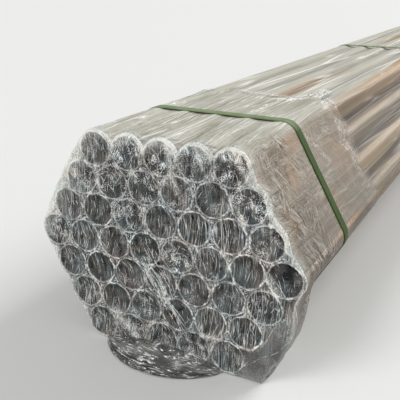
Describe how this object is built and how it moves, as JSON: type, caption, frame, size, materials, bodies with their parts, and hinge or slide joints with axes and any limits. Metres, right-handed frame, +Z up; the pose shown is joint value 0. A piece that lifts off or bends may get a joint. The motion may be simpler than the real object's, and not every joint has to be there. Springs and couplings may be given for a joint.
{
  "type": "bundle of steel pipes",
  "caption": "Hexagonal stack of round thin-walled steel pipes, wrapped in clear film with closed ends and held by plastic straps.",
  "frame": {"origin": "on the floor, under the middle of the whole bundle's length and width", "axes": "+Y along the pipes, away from the end with the loose film; +X across the bundle; +Z up"},
  "size_m": [0.4182, 6.0542, 0.3251],
  "materials": {
    "pipe_steel": "satin",
    "clear_film": "glossy, clear, crinkled",
    "strap_green": "satin, embossed"
  },
  "bodies": {
    "root": {"pipes_row_1": "pipe_steel", "pipes_row_2": "pipe_steel", "pipes_row_3": "pipe_steel", "pipes_row_4": "pipe_steel", "pipes_row_5": "pipe_steel", "pipes_row_6": "pipe_steel", "pipes_row_7": "pipe_steel", "body_film": "clear_film", "near_end_film": "clear_film", "far_end_film": "clear_film", "film_tail": "clear_film", "film_flap": "clear_film", "strap_1": "strap_green", "strap_2": "strap_green", "strap_3": "strap_green", "strap_4": "strap_green", "strap_5": "strap_green", "strap_6": "strap_green"}
  },
  "joints": []
}
